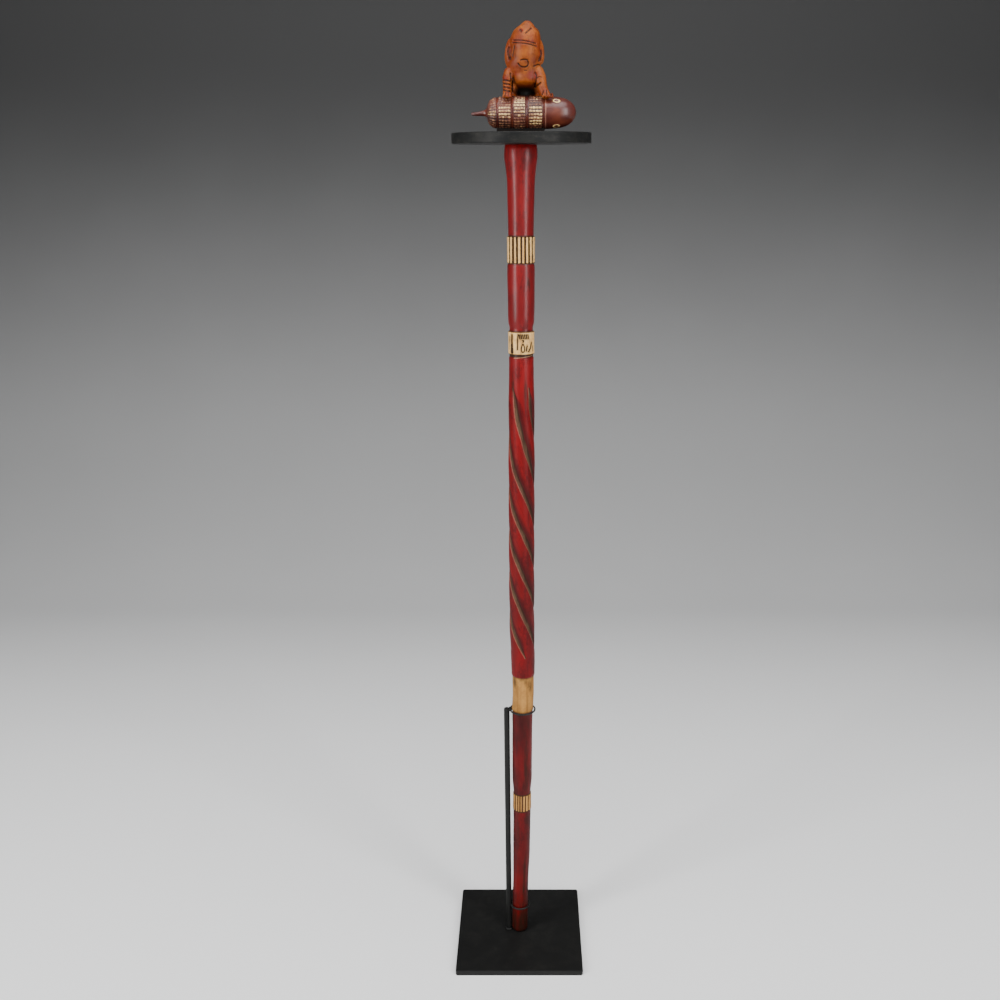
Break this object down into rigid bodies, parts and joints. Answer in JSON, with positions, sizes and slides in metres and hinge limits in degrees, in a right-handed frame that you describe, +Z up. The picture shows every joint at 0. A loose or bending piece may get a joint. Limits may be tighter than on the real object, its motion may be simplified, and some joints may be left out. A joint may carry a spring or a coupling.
{
  "type": "linguist staff",
  "caption": "Carved and painted wooden staff with spiral grooves, fluted bands and a disc platform carrying a seated figure on a striped beast, upright in a steel rod stand.",
  "frame": {"origin": "centre of the base plate's underside", "axes": "+Z up along the staff, the front towards -Y, the beast's head towards +X"},
  "size_m": [0.216, 0.216, 1.5013],
  "materials": {
    "stand_black": "satin black paint",
    "painted_shaft": "worn satin red paint, with cream fluted bands, a bare tan length and olive brown grooves",
    "black_wood": "dull black stain, scuffed",
    "beast_wood": "dark red-brown polish with rows of cream dashes",
    "figure_wood": "polished orange-brown wood, darker in the cuts"
  },
  "bodies": {
    "root": {"base_plate": "stand_black", "support_rod": "stand_black", "upper_ring": "stand_black", "lower_ring": "stand_black", "staff_shaft": "painted_shaft", "platform_disc": "black_wood", "striped_beast": "beast_wood", "seated_figure": "figure_wood"}
  },
  "joints": []
}
